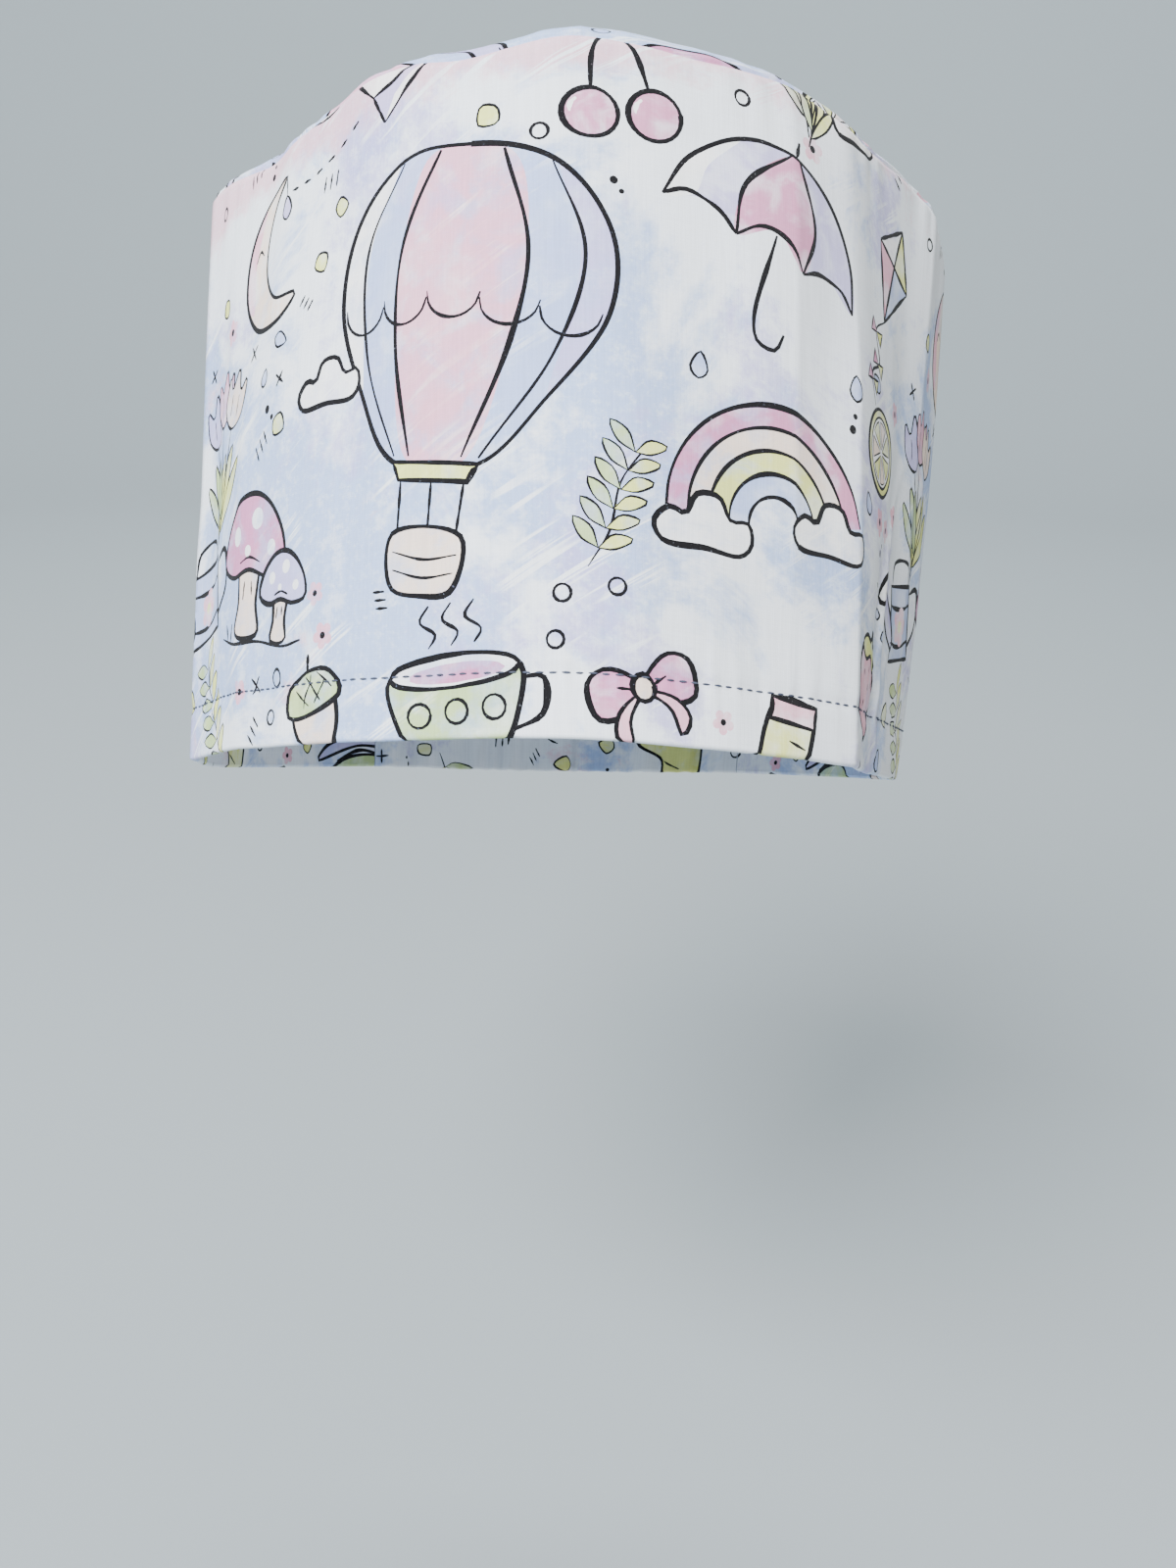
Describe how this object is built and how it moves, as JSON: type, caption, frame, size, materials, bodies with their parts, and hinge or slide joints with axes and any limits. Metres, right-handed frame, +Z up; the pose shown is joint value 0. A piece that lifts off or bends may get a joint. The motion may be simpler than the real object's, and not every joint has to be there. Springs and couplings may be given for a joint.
{
  "type": "scrub cap",
  "caption": "Printed cotton scrub cap in its worn form, with a tall band round the front and sides, a soft crown and a gathered elastic nape.",
  "frame": {"origin": "on the head's upright axis, at the centre of the cap's opening", "axes": "+Z up with the head upright, -Y to the front of the cap, +X to the right as the cap is seen from the front; the opening leans 22 degrees, front up"},
  "size_m": [0.1841, 0.2118, 0.199],
  "materials": {
    "printed_cotton": "plain-woven cotton with a pale blue, lilac and pink watercolour print and dark outlined motifs",
    "hem_cotton": "the same printed cotton, turned in and stitched"
  },
  "bodies": {
    "root": {"front_panel": "printed_cotton", "crown_panel": "printed_cotton", "hem_facing": "hem_cotton", "nape_casing": "hem_cotton"}
  },
  "joints": []
}
